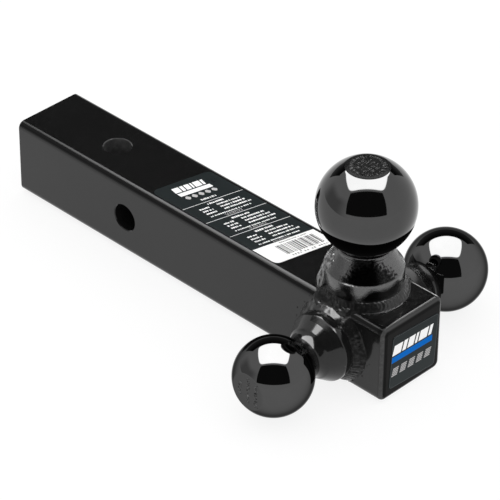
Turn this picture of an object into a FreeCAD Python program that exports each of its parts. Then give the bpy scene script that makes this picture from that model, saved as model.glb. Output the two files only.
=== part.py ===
"""Welded three-ball trailer hitch mount, in millimetres.

A solid 2 inch square shank carries three forged coupler balls at one station near its front end:
the large ball on top, the small ball on the -Y side and the medium ball on the +Y side.
+X runs along the shank from its back end to its front face, and +Z is up.
The origin is where the axis of the sideways hitch-pin hole crosses the axis of the shank.
"""
import FreeCAD, Part
import math
import os

# ---- driving dimensions, mm ----
INCH = 25.4

BAR_SIDE = 2.0 * INCH
BAR_EDGE_RADIUS = 4.5
BAR_BACK_X = -95.7
BAR_FRONT_X = 211.8
FRONT_EDGE_RADIUS = 2.6
BACK_EDGE_CHAMFER = 0.8

PIN_HOLE_RADIUS = 8.75
PIN_HOLE_CHAMFER = 0.5
SIDE_HOLE_X = 0.0
TOP_HOLE_X = -32.3

BALL_STATION_X = 173.3
HALF_SIDE = BAR_SIDE / 2.0

# Heights are measured from the shank's face along each ball's own axis.
# "turn" is the rotation about X, in degrees, that takes +Z to the ball's axis.
BALLS = {
    "large": {
        "turn": 0.0,
        "ball_radius": (2.0 + 5.0 / 16.0) * INCH / 2.0,
        "centre_height": 55.8,
        "neck_radius": 15.2,
        "rim_radius": 16.4,
        "rim_height": 27.2,
        "collar_radius": 23.6,
        "collar_height": 15.6,
        "flat_radius": 10.0,
        "flat_blend": 8.6,
        "weld_toe_radius": 27.6,
        "weld_height": 4.8,
    },
    "small": {
        "turn": 90.0,
        "ball_radius": (1.0 + 7.0 / 8.0) * INCH / 2.0,
        "centre_height": 48.4,
        "neck_radius": 13.0,
        "rim_radius": 15.8,
        "rim_height": 19.0,
        "collar_radius": 21.4,
        "collar_height": 11.0,
        "flat_radius": 11.4,
        "flat_blend": 1.2,
        "weld_toe_radius": 26.6,
        "weld_height": 5.4,
    },
    "medium": {
        "turn": -90.0,
        "ball_radius": 2.0 * INCH / 2.0,
        "centre_height": 47.5,
        "neck_radius": 13.4,
        "rim_radius": 15.8,
        "rim_height": 19.6,
        "collar_radius": 21.4,
        "collar_height": 11.2,
        "flat_radius": 11.8,
        "flat_blend": 1.2,
        "weld_toe_radius": 26.8,
        "weld_height": 5.4,
    },
}
BASE_CHAMFER = 1.0
COLLAR_EDGE_RADIUS = 1.2
NECK_HOLLOW = 0.2

# Each weld also fills the gap between a collar and the rounded long edges of the shank.
WELD_FILL_RADIUS = 18.0
WELD_FILL_DEPTH = 4.4
WELD_BULGE = 0.3

CORNER_HALF_LENGTH = 15.0
CORNER_RADIUS = 5.6
CORNER_AXIS_INSET = 1.4
CORNER_SHIFT = -1.5

BUILDUP_START_ANGLE = 188.0
BUILDUP_SWEEP = 58.0
BUILDUP_THICKNESS = 3.6
BUILDUP_TOP_HEIGHT = 24.0

LABEL_THICKNESS = 0.15
LABEL_HALF_WIDTH = 20.5
LABEL_BACK_X = 22.4
LABEL_FRONT_X = 128.2
LABEL_SLANT = 0.22
LABEL_CORNER_RADIUS = 4.0

BADGE_THICKNESS = 0.3
BADGE_WIDTH = 39.4
BADGE_HEIGHT = 36.4
BADGE_CORNER_RADIUS = 2.6
BADGE_CENTRE_Y = 1.8
BADGE_CENTRE_Z = -2.1
BADGE_TILT = 3.3

X_AXIS = FreeCAD.Vector(1, 0, 0)
Y_AXIS = FreeCAD.Vector(0, 1, 0)
Z_AXIS = FreeCAD.Vector(0, 0, 1)
ORIGIN = FreeCAD.Vector(0, 0, 0)
FULL_TURN = 360.0
LENGTH_TOLERANCE = 0.01


def at(radius, height):
    """A point of a turned profile: radius from the axis, height along it."""
    return FreeCAD.Vector(radius, 0, height)


def line(start, end):
    return Part.LineSegment(start, end).toShape()


def arc(start, through, end):
    return Part.Arc(start, through, end).toShape()


def turned(edges, sweep=FULL_TURN):
    """The solid that a closed profile in the XZ plane makes when it is turned about Z."""
    face = Part.Face(Part.Wire(edges))
    return face.revolve(ORIGIN, Z_AXIS, sweep)


def polygon_edges(points):
    """The straight edges of a closed outline."""
    ends = points[1:] + points[:1]
    return [line(start, end) for start, end in zip(points, ends)]


def on_face(shape, turn):
    """Moves a shape from its own upright frame to its face of the shank."""
    placed = shape.copy()
    placed.translate(FreeCAD.Vector(0, 0, HALF_SIDE))
    placed.rotate(ORIGIN, X_AXIS, turn)
    placed.translate(FreeCAD.Vector(BALL_STATION_X, 0, 0))
    return placed


# ---- shank ----

def long_edges(shape):
    """The four straight edges that run the length of the shank."""
    length = BAR_FRONT_X - BAR_BACK_X
    return [edge for edge in shape.Edges if abs(edge.BoundBox.XLength - length) < LENGTH_TOLERANCE]


def edges_at_x(shape, x):
    """The edges of the outline at one end of the shank."""
    flat = [edge for edge in shape.Edges if edge.BoundBox.XLength < LENGTH_TOLERANCE]
    return [edge for edge in flat if abs(edge.BoundBox.XMin - x) < LENGTH_TOLERANCE]


def pin_hole_cutter():
    """A drill along Z with a countersink where it enters and leaves the shank."""
    mouth = PIN_HOLE_RADIUS + PIN_HOLE_CHAMFER
    drill = Part.makeCylinder(PIN_HOLE_RADIUS, BAR_SIDE, at(0, -HALF_SIDE), Z_AXIS)
    upper = Part.makeCone(PIN_HOLE_RADIUS, mouth, PIN_HOLE_CHAMFER, at(0, HALF_SIDE - PIN_HOLE_CHAMFER))
    lower = Part.makeCone(mouth, PIN_HOLE_RADIUS, PIN_HOLE_CHAMFER, at(0, -HALF_SIDE))
    return drill.fuse([upper, lower]).removeSplitter()


def make_shank():
    length = BAR_FRONT_X - BAR_BACK_X
    corner = FreeCAD.Vector(BAR_BACK_X, -HALF_SIDE, -HALF_SIDE)
    bar = Part.makeBox(length, BAR_SIDE, BAR_SIDE, corner)
    bar = bar.makeFillet(BAR_EDGE_RADIUS, long_edges(bar))
    bar = bar.makeFillet(FRONT_EDGE_RADIUS, edges_at_x(bar, BAR_FRONT_X))
    bar = bar.makeChamfer(BACK_EDGE_CHAMFER, edges_at_x(bar, BAR_BACK_X))

    side_hole = pin_hole_cutter()
    side_hole.rotate(ORIGIN, X_AXIS, 90.0)
    side_hole.translate(FreeCAD.Vector(SIDE_HOLE_X, 0, 0))
    top_hole = pin_hole_cutter()
    top_hole.translate(FreeCAD.Vector(TOP_HOLE_X, 0, 0))
    return bar.cut([side_hole, top_hole])


# ---- coupler balls ----

def ball_top_edges(ball):
    """The sphere above the neck, the rounded rim of its flat, and the flat itself."""
    radius = ball["ball_radius"]
    centre = ball["centre_height"]
    neck = ball["neck_radius"]
    blend = ball["flat_blend"]
    flat = ball["flat_radius"]

    neck_top = at(neck, centre - math.sqrt(radius ** 2 - neck ** 2))
    equator = at(radius, centre)
    blend_centre_rise = math.sqrt((radius - blend) ** 2 - flat ** 2)
    lean = math.atan2(flat, blend_centre_rise)
    sphere_end = at(radius * math.sin(lean), centre + radius * math.cos(lean))
    blend_middle = at(flat + blend * math.sin(lean / 2.0),
                      centre + blend_centre_rise + blend * math.cos(lean / 2.0))
    flat_height = centre + blend_centre_rise + blend
    flat_edge = at(flat, flat_height)
    flat_centre = at(0, flat_height)
    return [
        arc(neck_top, equator, sphere_end),
        arc(sphere_end, blend_middle, flat_edge),
        line(flat_edge, flat_centre),
        line(flat_centre, at(0, 0)),
    ], neck_top


def skirt_edges(ball, neck_top):
    """The base, the collar, the flared skirt and the hollow of the neck."""
    collar = ball["collar_radius"]
    collar_top = ball["collar_height"]
    rim = ball["rim_radius"]
    rim_height = ball["rim_height"]
    slope = math.hypot(collar - rim, rim_height - collar_top)
    step = COLLAR_EDGE_RADIUS
    above_edge = at(collar - step * (collar - rim) / slope,
                    collar_top + step * (rim_height - collar_top) / slope)
    below_edge = at(collar, collar_top - step)
    edge_middle = at((above_edge.x + 2.0 * collar + below_edge.x) / 4.0,
                     (above_edge.z + 2.0 * collar_top + below_edge.z) / 4.0)
    rim_point = at(rim, rim_height)
    hollow = at(ball["neck_radius"] - NECK_HOLLOW, (rim_height + neck_top.z) / 2.0)
    return [
        line(at(0, 0), at(collar - BASE_CHAMFER, 0)),
        line(at(collar - BASE_CHAMFER, 0), at(collar, BASE_CHAMFER)),
        line(at(collar, BASE_CHAMFER), below_edge),
        arc(below_edge, edge_middle, above_edge),
        line(above_edge, rim_point),
        arc(rim_point, hollow, neck_top),
    ]


def make_forging(ball):
    """One forging: ball, neck, flared skirt and collar, standing upright on z = 0."""
    upper, neck_top = ball_top_edges(ball)
    lower = skirt_edges(ball, neck_top)
    return turned(lower + upper)


# ---- welds ----

def make_weld_ring(ball):
    """A fillet weld all round a collar, before the shank is taken out of it."""
    collar = ball["collar_radius"]
    toe = ball["weld_toe_radius"]
    top = ball["weld_height"]
    bulge = at((collar + toe) / 2.0 + WELD_BULGE, top / 2.0 + WELD_BULGE)
    face_toe = at(toe, 0)
    collar_toe = at(collar, top)
    corners = [
        collar_toe,
        at(collar, BASE_CHAMFER),
        at(collar - BASE_CHAMFER, 0),
        at(WELD_FILL_RADIUS, 0),
        at(WELD_FILL_RADIUS, -WELD_FILL_DEPTH),
        at(toe - WELD_BULGE, -WELD_FILL_DEPTH),
        face_toe,
    ]
    edges = [line(start, end) for start, end in zip(corners[:-1], corners[1:])]
    edges.append(arc(face_toe, bulge, collar_toe))
    return turned(edges)


def make_corner_puddle(side):
    """A round-ended bead of weld along a top long edge of the shank; side is -1 for -Y and 1 for +Y."""
    radius = CORNER_RADIUS
    half = CORNER_HALF_LENGTH
    shoulder = half - radius
    diagonal = radius * math.sqrt(0.5)
    profile = [
        arc(at(0, -half), at(diagonal, -shoulder - diagonal), at(radius, -shoulder)),
        line(at(radius, -shoulder), at(radius, shoulder)),
        arc(at(radius, shoulder), at(diagonal, shoulder + diagonal), at(0, half)),
        line(at(0, half), at(0, -half)),
    ]
    bead = turned(profile)
    bead.rotate(ORIGIN, Y_AXIS, 90.0)
    inset = HALF_SIDE - CORNER_AXIS_INSET
    bead.translate(FreeCAD.Vector(BALL_STATION_X + CORNER_SHIFT, side * inset, inset))
    return bead


def make_buildup_run(ball):
    """A thick run of weld that climbs the collar and skirt over part of a turn."""
    collar = ball["collar_radius"]
    rim = ball["rim_radius"]
    climb = (BUILDUP_TOP_HEIGHT - ball["collar_height"]) / (ball["rim_height"] - ball["collar_height"])
    skirt_top = collar + (rim - collar) * climb
    inner = rim / 2.0
    outline = [
        at(inner, 0),
        at(collar + BUILDUP_THICKNESS, 0),
        at(collar + BUILDUP_THICKNESS, ball["collar_height"] - BUILDUP_THICKNESS),
        at(skirt_top + BUILDUP_THICKNESS, BUILDUP_TOP_HEIGHT - BUILDUP_THICKNESS / 2.0),
        at(skirt_top, BUILDUP_TOP_HEIGHT),
        at(inner, BUILDUP_TOP_HEIGHT),
    ]
    run = turned(polygon_edges(outline), BUILDUP_SWEEP)
    run.rotate(ORIGIN, Z_AXIS, BUILDUP_START_ANGLE)
    return run


def largest_solid(shape):
    """Keeps the main piece when a cut leaves crumbs beside it."""
    return max(shape.Solids, key=lambda solid: solid.Volume)


def make_welds(shank, forgings):
    """Every weld bead, each cut clear of the shank, the forgings and the beads made before it."""
    rough = {}
    for name, ball in BALLS.items():
        rough["weld_" + name] = on_face(make_weld_ring(ball), ball["turn"])
    rough["weld_buildup_run"] = on_face(make_buildup_run(BALLS["large"]), 0.0)
    rough["weld_corner_small_side"] = make_corner_puddle(-1)
    rough["weld_corner_medium_side"] = make_corner_puddle(1)

    done = {}
    for name, shape in rough.items():
        neighbours = [shank] + list(forgings.values()) + list(done.values())
        done[name] = largest_solid(shape.cut(neighbours))
    return done


# ---- label and badge ----

def rounded_plate(outline, radius, thickness):
    """A thin plate standing on its outline, with its upright corners rounded."""
    plate = Part.Face(Part.Wire(polygon_edges(outline))).extrude(Z_AXIS * thickness)
    uprights = [edge for edge in plate.Edges if edge.BoundBox.ZLength > thickness / 2.0]
    return plate.makeFillet(radius, uprights)


def make_label():
    """The rating label, whose two ends slant across the top face."""
    width = LABEL_HALF_WIDTH
    shift = LABEL_SLANT * width
    outline = [
        FreeCAD.Vector(LABEL_BACK_X - shift, -width, 0),
        FreeCAD.Vector(LABEL_FRONT_X - shift, -width, 0),
        FreeCAD.Vector(LABEL_FRONT_X + shift, width, 0),
        FreeCAD.Vector(LABEL_BACK_X + shift, width, 0),
    ]
    label = rounded_plate(outline, LABEL_CORNER_RADIUS, LABEL_THICKNESS)
    label.translate(FreeCAD.Vector(0, 0, HALF_SIDE))
    return label


def make_badge():
    """The front badge, turned a little in the plane of the front face."""
    half_y = BADGE_WIDTH / 2.0
    half_z = BADGE_HEIGHT / 2.0
    outline = [
        FreeCAD.Vector(-half_z, -half_y, 0),
        FreeCAD.Vector(half_z, -half_y, 0),
        FreeCAD.Vector(half_z, half_y, 0),
        FreeCAD.Vector(-half_z, half_y, 0),
    ]
    badge = rounded_plate(outline, BADGE_CORNER_RADIUS, BADGE_THICKNESS)
    badge.rotate(ORIGIN, Y_AXIS, 90.0)
    badge.rotate(ORIGIN, X_AXIS, -BADGE_TILT)
    badge.translate(FreeCAD.Vector(BAR_FRONT_X, BADGE_CENTRE_Y, BADGE_CENTRE_Z))
    return badge


def make_all():
    shank = make_shank()
    forgings = {}
    for name, ball in BALLS.items():
        forgings["ball_" + name] = on_face(make_forging(ball), ball["turn"])
    pieces = {"shank_bar": shank}
    pieces.update(forgings)
    pieces.update(make_welds(shank, forgings))
    pieces["rating_label"] = make_label()
    pieces["front_badge"] = make_badge()
    return pieces


os.makedirs("parts", exist_ok=True)
for node, shape in make_all().items():
    shape.exportStep("parts/" + node + ".step")
    print(node, "valid", shape.isValid(), "solids", len(shape.Solids), "mm3", round(shape.Volume, 1))
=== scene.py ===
"""The looks of the three-ball trailer hitch mount: detailed pieces and materials round its CAD frame.

Lengths named in millimetres are turned into metres with MM. The frame's +X runs along the shank to its
front face, +Z is up through the large ball, and the origin is in the sideways hitch-pin hole.
"""

import random
from math import atan2, copysign, cos, degrees, hypot, pi, radians, sin, sqrt

import bpy
import numpy as np
from mathutils import Matrix, Vector, noise


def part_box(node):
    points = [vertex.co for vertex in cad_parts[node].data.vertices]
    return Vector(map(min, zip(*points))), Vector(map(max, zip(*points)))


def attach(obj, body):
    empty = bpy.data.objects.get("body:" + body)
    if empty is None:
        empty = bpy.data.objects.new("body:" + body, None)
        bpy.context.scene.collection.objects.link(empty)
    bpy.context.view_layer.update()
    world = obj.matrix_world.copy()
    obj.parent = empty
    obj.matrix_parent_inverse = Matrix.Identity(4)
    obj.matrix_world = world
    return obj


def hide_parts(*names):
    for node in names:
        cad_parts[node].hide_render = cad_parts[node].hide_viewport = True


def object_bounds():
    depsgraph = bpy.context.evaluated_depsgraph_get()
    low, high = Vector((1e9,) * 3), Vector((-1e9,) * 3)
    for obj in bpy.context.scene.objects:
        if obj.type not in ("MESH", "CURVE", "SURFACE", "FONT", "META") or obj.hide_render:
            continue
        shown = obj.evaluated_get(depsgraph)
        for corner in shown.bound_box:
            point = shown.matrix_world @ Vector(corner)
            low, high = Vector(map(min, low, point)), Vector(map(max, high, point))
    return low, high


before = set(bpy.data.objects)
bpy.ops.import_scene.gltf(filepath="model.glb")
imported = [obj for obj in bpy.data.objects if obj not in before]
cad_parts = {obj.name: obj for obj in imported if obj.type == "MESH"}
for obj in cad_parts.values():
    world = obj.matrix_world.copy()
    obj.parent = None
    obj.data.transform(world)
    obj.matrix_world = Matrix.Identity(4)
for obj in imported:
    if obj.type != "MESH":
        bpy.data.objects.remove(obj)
cad_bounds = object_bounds()

MM = 0.001
INCH = 25.4 * MM
TAU = 2.0 * pi
BODY = "root"

# ---- sizes of the object, from the frame where a node gives them ----
bar_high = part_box("shank_bar")[1]
ring_low, ring_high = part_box("weld_large")
HALF_SIDE = bar_high.z
EDGE_RADIUS = 4.5 * MM
FLAT_HALF = HALF_SIDE - EDGE_RADIUS
FRONT_X = bar_high.x
STATION_X = (ring_low.x + ring_high.x) / 2.0
TOP_HOLE_X = -32.3 * MM

# Heights run from the shank's face along each ball's own axis; turn takes +Z to that axis, about X.
# top tells which way along its own Y a side ball's upper edge lies. Its neck and part of its base take a
# near-black painted shade: shade_arc is in degrees from the front towards that upper edge, shade_rise is in
# height.
BALLS = {
    "large": dict(turn=0.0, ball=(2 + 5 / 16) * INCH / 2, centre=55.8 * MM, neck=15.2 * MM, rim=16.4 * MM,
                  rim_height=27.2 * MM, collar=23.6 * MM, collar_height=15.6 * MM, flat=10.0 * MM,
                  blend=8.6 * MM, toe=27.0 * MM, weld_height=4.8 * MM, seed=11, top=0.0),
    "small": dict(turn=90.0, ball=(1 + 7 / 8) * INCH / 2, centre=48.4 * MM, neck=13.0 * MM, rim=15.8 * MM,
                  rim_height=19.0 * MM, collar=21.4 * MM, collar_height=11.0 * MM, flat=11.4 * MM,
                  blend=1.2 * MM, toe=26.0 * MM, weld_height=5.4 * MM, seed=23, top=1.0,
                  shade_arc=(60.0, 104.0), shade_rise=(10.6 * MM, 14.0 * MM)),
    "medium": dict(turn=-90.0, ball=2 * INCH / 2, centre=47.5 * MM, neck=13.4 * MM, rim=15.8 * MM,
                   rim_height=19.6 * MM, collar=21.4 * MM, collar_height=11.2 * MM, flat=11.8 * MM,
                   blend=1.2 * MM, toe=26.2 * MM, weld_height=5.4 * MM, seed=37, top=-1.0,
                   shade_arc=(40.0, 130.0), shade_rise=(0.5 * MM, 25.0 * MM)),
}

# ---- camera ----
CAMERA_AZIMUTH = radians(44.22)
CAMERA_ELEVATION = radians(35.31)
CAMERA_ROLL = radians(0.55)
CAMERA_DISTANCE = 1753.95 * MM
CAMERA_TARGET = Vector((82.03, 0.0, 4.5)) * MM
SENSOR_MM = 36.0
FOCAL_IN_SENSORS = 5.8824


def camera_axes():
    """The level directions to the camera's right and from the object towards the camera."""
    right = Vector((cos(CAMERA_AZIMUTH), sin(CAMERA_AZIMUTH), 0.0))
    towards = Vector((sin(CAMERA_AZIMUTH), -cos(CAMERA_AZIMUTH), 0.0))
    return right, towards


def make_camera():
    right, towards = camera_axes()
    back = towards * cos(CAMERA_ELEVATION) + Vector((0, 0, sin(CAMERA_ELEVATION)))
    up = back.cross(right)
    rolled_right = right * cos(CAMERA_ROLL) + up * sin(CAMERA_ROLL)
    rolled_up = up * cos(CAMERA_ROLL) - right * sin(CAMERA_ROLL)
    data = bpy.data.cameras.new("camera")
    data.sensor_width = SENSOR_MM
    data.lens = SENSOR_MM * FOCAL_IN_SENSORS
    camera = bpy.data.objects.new("camera", data)
    bpy.context.scene.collection.objects.link(camera)
    rotation = Matrix((rolled_right, rolled_up, back)).transposed().to_4x4()
    camera.matrix_world = Matrix.Translation(CAMERA_TARGET + back * CAMERA_DISTANCE) @ rotation
    bpy.context.scene.camera = camera


# ---- materials ----

def add_node(tree, kind, output, inputs, **settings):
    """Adds a shader node and gives back one of its outputs; each input is a value or another output."""
    node = tree.nodes.new("ShaderNode" + kind)
    for name, value in settings.items():
        setattr(node, name, value)
    for socket, value in inputs.items():
        if isinstance(value, bpy.types.NodeSocket):
            tree.links.new(value, node.inputs[socket])
        else:
            node.inputs[socket].default_value = value
    return node.outputs[output]


class Shader:
    """A material with one Principled shader and short ways to wire textures into it."""

    def __init__(self, name):
        self.material = bpy.data.materials.new(name)
        self.material.use_nodes = True
        self.tree = self.material.node_tree
        self.shader = self.tree.nodes["Principled BSDF"]
        self.coordinates = self.node("TexCoord", "Object")

    def node(self, kind, output, inputs=(), **settings):
        return add_node(self.tree, kind, output, dict(inputs), **settings)

    def set(self, **values):
        for name, value in values.items():
            self.shader.inputs[name.replace("_", " ").title().replace("Ior", "IOR")].default_value = value

    def link(self, output, socket):
        self.tree.links.new(output, self.shader.inputs[socket])

    def colour(self, output):
        self.link(output, "Base Color")

    def roughness(self, output):
        self.link(output, "Roughness")

    def noise(self, scale, detail=4.0, roughness=0.55, stretch=None):
        place = self.coordinates
        if stretch:
            place = self.node("Mapping", "Vector", {"Scale": stretch, "Vector": place})
        return self.node("TexNoise", "Fac", {"Scale": scale, "Detail": detail, "Roughness": roughness,
                                             "Vector": place})

    def spread(self, value, low, high, from_low=0.3, from_high=0.7):
        """Maps a span of a value, by default the span of a noise, to a range."""
        return self.node("MapRange", "Result", {"Value": value, "From Min": from_low, "From Max": from_high,
                                                "To Min": low, "To Max": high})

    def past(self, value, origin, start, end):
        """0 before the start and 1 after the end, both in millimetres from an origin."""
        return self.spread(value, 0.0, 1.0, origin + start * MM, origin + end * MM)

    def band(self, value, origin, rise, fall):
        """1 between a rise and a fall, each a start and an end in millimetres from an origin."""
        falling = self.spread(value, 1.0, 0.0, *(origin + place * MM for place in fall))
        return self.times(self.past(value, origin, *rise), falling)

    def lessen(self, value, mask, share):
        """Leaves a share of a value where a mask is 1."""
        return self.times(value, self.spread(mask, 1.0, share, 0.0, 1.0))

    def position(self, axis):
        """One coordinate of the shaded point, in metres."""
        return self.node("SeparateXYZ", axis, {"Vector": self.coordinates})

    def facing(self, azimuth, radius):
        """How squarely a point round the large ball's axis faces an azimuth: 1 straight on, at a radius."""
        parts = []
        for axis, middle, share in (("X", STATION_X, cos(azimuth)), ("Y", 0.0, sin(azimuth))):
            parts.append(self.spread(self.position(axis), -share, share, middle - radius, middle + radius))
        return self.math("ADD", *parts)

    def math(self, operation, *values):
        return self.node("Math", "Value", enumerate(values), operation=operation)

    def times(self, first, second):
        return self.math("MULTIPLY", first, second)

    def mix(self, share, first, second):
        """Blends two colours."""
        return self.node("Mix", 2, {"Factor": share, 6: first, 7: second}, data_type="RGBA")

    def ramp(self, value, stops):
        """A colour ramp between two stops, each a position and a colour."""
        output = self.node("ValToRGB", "Color", {"Fac": value})
        points = output.node.color_ramp.elements
        for point, (position, colour) in zip(points, stops):
            point.position = position
            point.color = (*colour, 1.0)
        return output

    def bump(self, *layers):
        """Stacks bump layers; each is (height value, strength, depth in metres)."""
        normal = {}
        for height, strength, depth in layers:
            inputs = {"Height": height, "Strength": strength, "Distance": depth, **normal}
            normal = {"Normal": self.node("Bump", "Normal", inputs)}
        self.link(normal["Normal"], "Normal")


def greys(low, high, start=0.3, end=0.75):
    """The two stops of a ramp from one grey to another."""
    return [(start, (low, low, low)), (end, (high, high, high))]


def make_finish(name, tone, stops, sheen, roughness, *bumps, **settings):
    """A material from noises, each given by its scale, detail, roughness and stretch.

    tone runs through the colour stops, sheen runs through the roughness range, and each of the bumps is a
    noise with its strength and its depth in millimetres. The settings are the shader's own.
    """
    finish = Shader(name)
    finish.set(**settings)
    finish.colour(finish.ramp(finish.noise(*tone), stops))
    finish.roughness(finish.spread(finish.noise(*sheen), *roughness))
    finish.bump(*((finish.noise(*height), strength, depth * MM) for height, strength, depth in bumps))
    return finish.material


# Where the finish of the shank changes, in millimetres from the face or point named beside each.
FRONT_FACE = (-0.06, -0.01)                        # front face
FRONT_SHEEN_BAND = ((-2.0, -1.8), (-0.3, -0.04))         # front face
FRONT_LINE = (-5.0, -4.6)                          # front face
SIDE_BAND = ((0.5, 0.8), (2.6, 2.8))               # near side
NEAR_LINE = ((2.5, 2.7), (4.2, 4.5))               # near side
HIGHLIGHT_ACROSS = ((-3.4, -2.7), (-1.1, -0.8))         # far side
HIGHLIGHT_ALONG = ((-22.5, -16.5), (-3.0, -1.6))        # front face
UPPER = (-5.0, -4.5)                               # top face
LINE_GLOSS_ALONG = (-95.0 * MM, 40.0 * MM)
TOP_HOLE_REACH = 9.3 * MM


def make_powder_coat():
    """Satin black powder coat with fine orange peel.

    It is duller on the front face and in lines beside the edges. Its colour holds painted light: a painted
    reflection in a lighter band on the front edges, painted fill light inside the top hole, and a painted
    highlight, a bright line on the far upper edge near the front.
    """
    coat = Shader("black_powder_coat")
    coat.set(ior=1.41)
    along, across, height = (coat.position(axis) for axis in "XYZ")
    upper = coat.past(height, HALF_SIDE, *UPPER)
    front_sheen_band = coat.band(along, FRONT_X, *FRONT_SHEEN_BAND)

    squares = []
    for value, middle in ((along, TOP_HOLE_X), (across, 0.0)):
        offset = coat.spread(value, -1.0, 1.0, middle - TOP_HOLE_REACH, middle + TOP_HOLE_REACH)
        squares.append(coat.times(offset, offset))
    in_hole = coat.spread(coat.math("ADD", *squares), 1.0, 0.0, 0.95, 0.98)
    # Painted highlight: a bright line painted on the far upper edge near the front.
    wear_and_highlight = coat.times(coat.band(across, HALF_SIDE, *HIGHLIGHT_ACROSS),
                      coat.times(upper, coat.band(along, FRONT_X, *HIGHLIGHT_ALONG)))

    base = coat.ramp(coat.noise(60.0, 4.0), greys(0.0058, 0.0076))
    # Painted fill light: a lighter grey in the shaded bore of the top hole.
    bore_fill_light = coat.ramp(coat.noise(200.0, 4.0), greys(0.04, 0.08))
    # Painted reflection: a lighter streaked grey on the rounding of the front edges, in the front band.
    streaks = coat.ramp(coat.noise(900.0, 3.0, stretch=(1.0, 0.02, 1.0)), greys(0.044, 0.072, end=0.7))
    # The colour of the painted highlight, a streaky light grey.
    painted_highlight = coat.ramp(coat.noise(700.0, 3.0, stretch=(0.4, 1.0, 1.0)), greys(0.3, 0.9, 0.35, 0.6))
    coat.colour(coat.mix(wear_and_highlight, coat.mix(front_sheen_band, coat.mix(in_hole, base, bore_fill_light), streaks), painted_highlight))

    near_line = coat.band(across, -HALF_SIDE, *NEAR_LINE)
    line_gloss = coat.math("MAXIMUM", coat.spread(near_line, 1.0, 0.0, 0.0, 1.0),
                           coat.spread(along, 0.11, 0.37, *LINE_GLOSS_ALONG))
    front = coat.past(along, FRONT_X, *FRONT_FACE)
    gloss = coat.times(line_gloss, coat.spread(front, 0.5, 0.05, 0.0, 1.0))
    bands = coat.math("MAXIMUM", front_sheen_band, coat.band(across, -HALF_SIDE, *SIDE_BAND))
    front_line = coat.times(upper, coat.past(along, FRONT_X, *FRONT_LINE))
    gloss = coat.lessen(coat.lessen(gloss, bands, 0.2), front_line, 0.45)
    coat.link(gloss, "Specular IOR Level")
    coat.roughness(coat.spread(coat.noise(500.0, 4.0), 0.08, 0.13))
    coat.bump((coat.noise(700.0, 2.0), 0.3, 0.008 * MM), (coat.noise(2600.0, 2.0), 0.25, 0.004 * MM))
    return coat.material


def make_nickel(name, low, high, roughness, edge_tint):
    """Black nickel plate with faint smudges; the edge tint dulls it where it is seen edge on."""
    haze = (45.0, 6.0, 0.65)
    return make_finish(name, haze, greys(low, high), haze, roughness, ((160.0, 2.0), 0.05, 0.04),
                       metallic=1.0, specular_tint=(edge_tint, edge_tint, edge_tint, 1.0))


def make_dull_plate(name, low, high, specular, contrast=(0.3, 0.75)):
    """Dull gritty plate: the stamped flats and marks, and the painted shade on the side balls' necks and
    bases.
    """
    grit = (900.0, 4.0, 0.6)
    return make_finish(name, grit, greys(low, high, *contrast), grit, (0.2, 0.34), (grit, 0.2, 0.03),
                       ior=1.45, specular_ior_level=specular)


# The two painted marks on the large ball's skirt, a painted dark reflection and a spot of painted glints:
# azimuth round its axis, the radius there, how squarely a point faces that azimuth where the mark begins
# and is full, and the lower edge in the frame.
DARK_REFLECTION_AZIMUTH, DARK_REFLECTION_RADIUS = radians(321.0), 22.0 * MM
DARK_REFLECTION_EDGE, DARK_REFLECTION_LOW = (0.69, 0.77), 41.3 * MM
GLINT_AZIMUTH, GLINT_RADIUS = radians(291.0), 24.0 * MM
GLINT_EDGE, GLINT_LOW = (0.955, 0.975), 40.6 * MM
GLINT_BAND = ((0.0, 0.3), (1.0, 1.9))


def make_satin_nickel():
    """The same plate over an unpolished forging: grainy, with a painted dark reflection and painted glints.
    """
    plate = Shader("satin_nickel")
    plate.set(metallic=1.0)
    grain_value = plate.noise(1500.0, 5.0, 0.7)
    height = plate.position("Z")
    ragged = plate.spread(plate.noise(750.0, 3.0), -0.09, 0.09, 0.35, 0.65)
    facing = plate.math("ADD", plate.facing(DARK_REFLECTION_AZIMUTH, DARK_REFLECTION_RADIUS), ragged)
    # Painted dark reflection: the plate's colour goes near black on one side of the skirt.
    dark_reflection = plate.times(plate.spread(facing, 0.0, 1.0, *DARK_REFLECTION_EDGE), plate.past(height, DARK_REFLECTION_LOW, 0.0, 0.6))
    base = plate.mix(dark_reflection, plate.ramp(grain_value, greys(0.09, 0.16, end=0.7)),
                     plate.ramp(grain_value, greys(0.004, 0.06, 0.45)))
    facing = plate.facing(GLINT_AZIMUTH, GLINT_RADIUS)
    # Painted glints: bright specks of colour in one small spot near the skirt's lower edge.
    glint_spot = plate.times(plate.band(height, GLINT_LOW, *GLINT_BAND),
                         plate.spread(facing, 0.0, 1.0, *GLINT_EDGE))
    glint_specks = plate.times(glint_spot, plate.spread(plate.noise(900.0, 3.0), 0.0, 1.0, 0.42, 0.58))
    plate.colour(plate.mix(glint_specks, base, plate.ramp(grain_value, greys(0.45, 0.95, end=0.7))))
    plate.roughness(plate.spread(plate.noise(350.0, 4.0), 0.06, 0.16))
    plate.bump((grain_value, 1.0, 0.08 * MM), (plate.noise(420.0, 3.0), 0.8, 0.12 * MM))
    return plate.material


# Where the paint on the welds changes, in the frame; the darker side towards the small ball is painted dark
# reflection.
DARK_SIDE_ACROSS = (-18.0, -9.0)
POOL_ACROSS = (-27.0 * MM, -25.6 * MM)
POOL_UP = (15.0, 18.0)


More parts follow.
